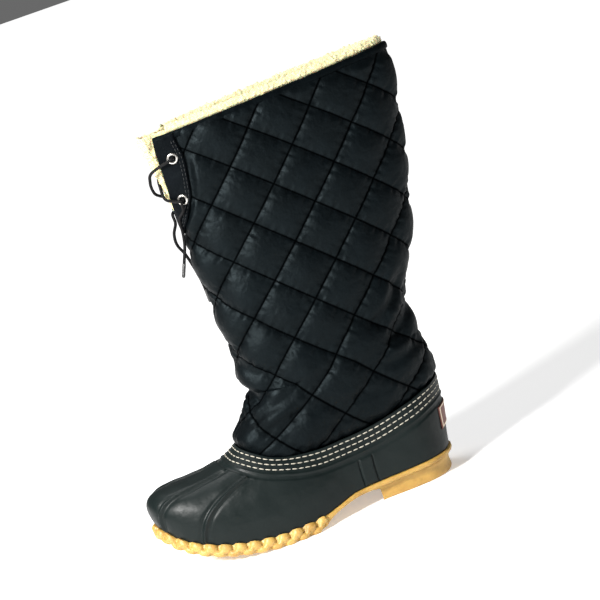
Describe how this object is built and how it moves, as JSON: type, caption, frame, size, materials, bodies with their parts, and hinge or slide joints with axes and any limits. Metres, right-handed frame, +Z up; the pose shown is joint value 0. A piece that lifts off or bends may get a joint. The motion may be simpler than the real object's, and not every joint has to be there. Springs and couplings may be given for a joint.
{
  "type": "duck boot",
  "caption": "Tall left duck boot: moulded black rubber shoe on a gum outsole, quilted nylon shaft with fleece lining and a laced front split.",
  "frame": {"origin": "middle of the boot's bounding box, without its loose lace ends, on the floor plane z = 0", "axes": "+Z up; the toe points to -X and the heel to +X; the outer (lateral) side faces -Y"},
  "size_m": [0.3346, 0.1082, 0.3847],
  "materials": {
    "black_rubber": "satin moulded black rubber",
    "gum_rubber": "matte tan gum rubber",
    "nylon": "quilted black nylon with a soft sheen",
    "fleece": "cream curly fleece",
    "nickel": "nickel-plated eyelets",
    "cord": "round braided black lace",
    "label": "bare dark brown patch with a pale border"
  },
  "bodies": {
    "root": {"outsole": "gum_rubber", "insole": "fleece", "rubber_shell": "black_rubber", "quilted_shaft": "nylon", "facing_lateral": "nylon", "facing_medial": "nylon", "gusset": "fleece", "fleece_collar": "fleece", "heel_label": "label", "eyelet_1": "nickel", "eyelet_2": "nickel", "eyelet_3": "nickel", "eyelet_4": "nickel", "lace_crossing": "cord", "lace_end_long": "cord", "lace_end_short": "cord"}
  },
  "joints": []
}
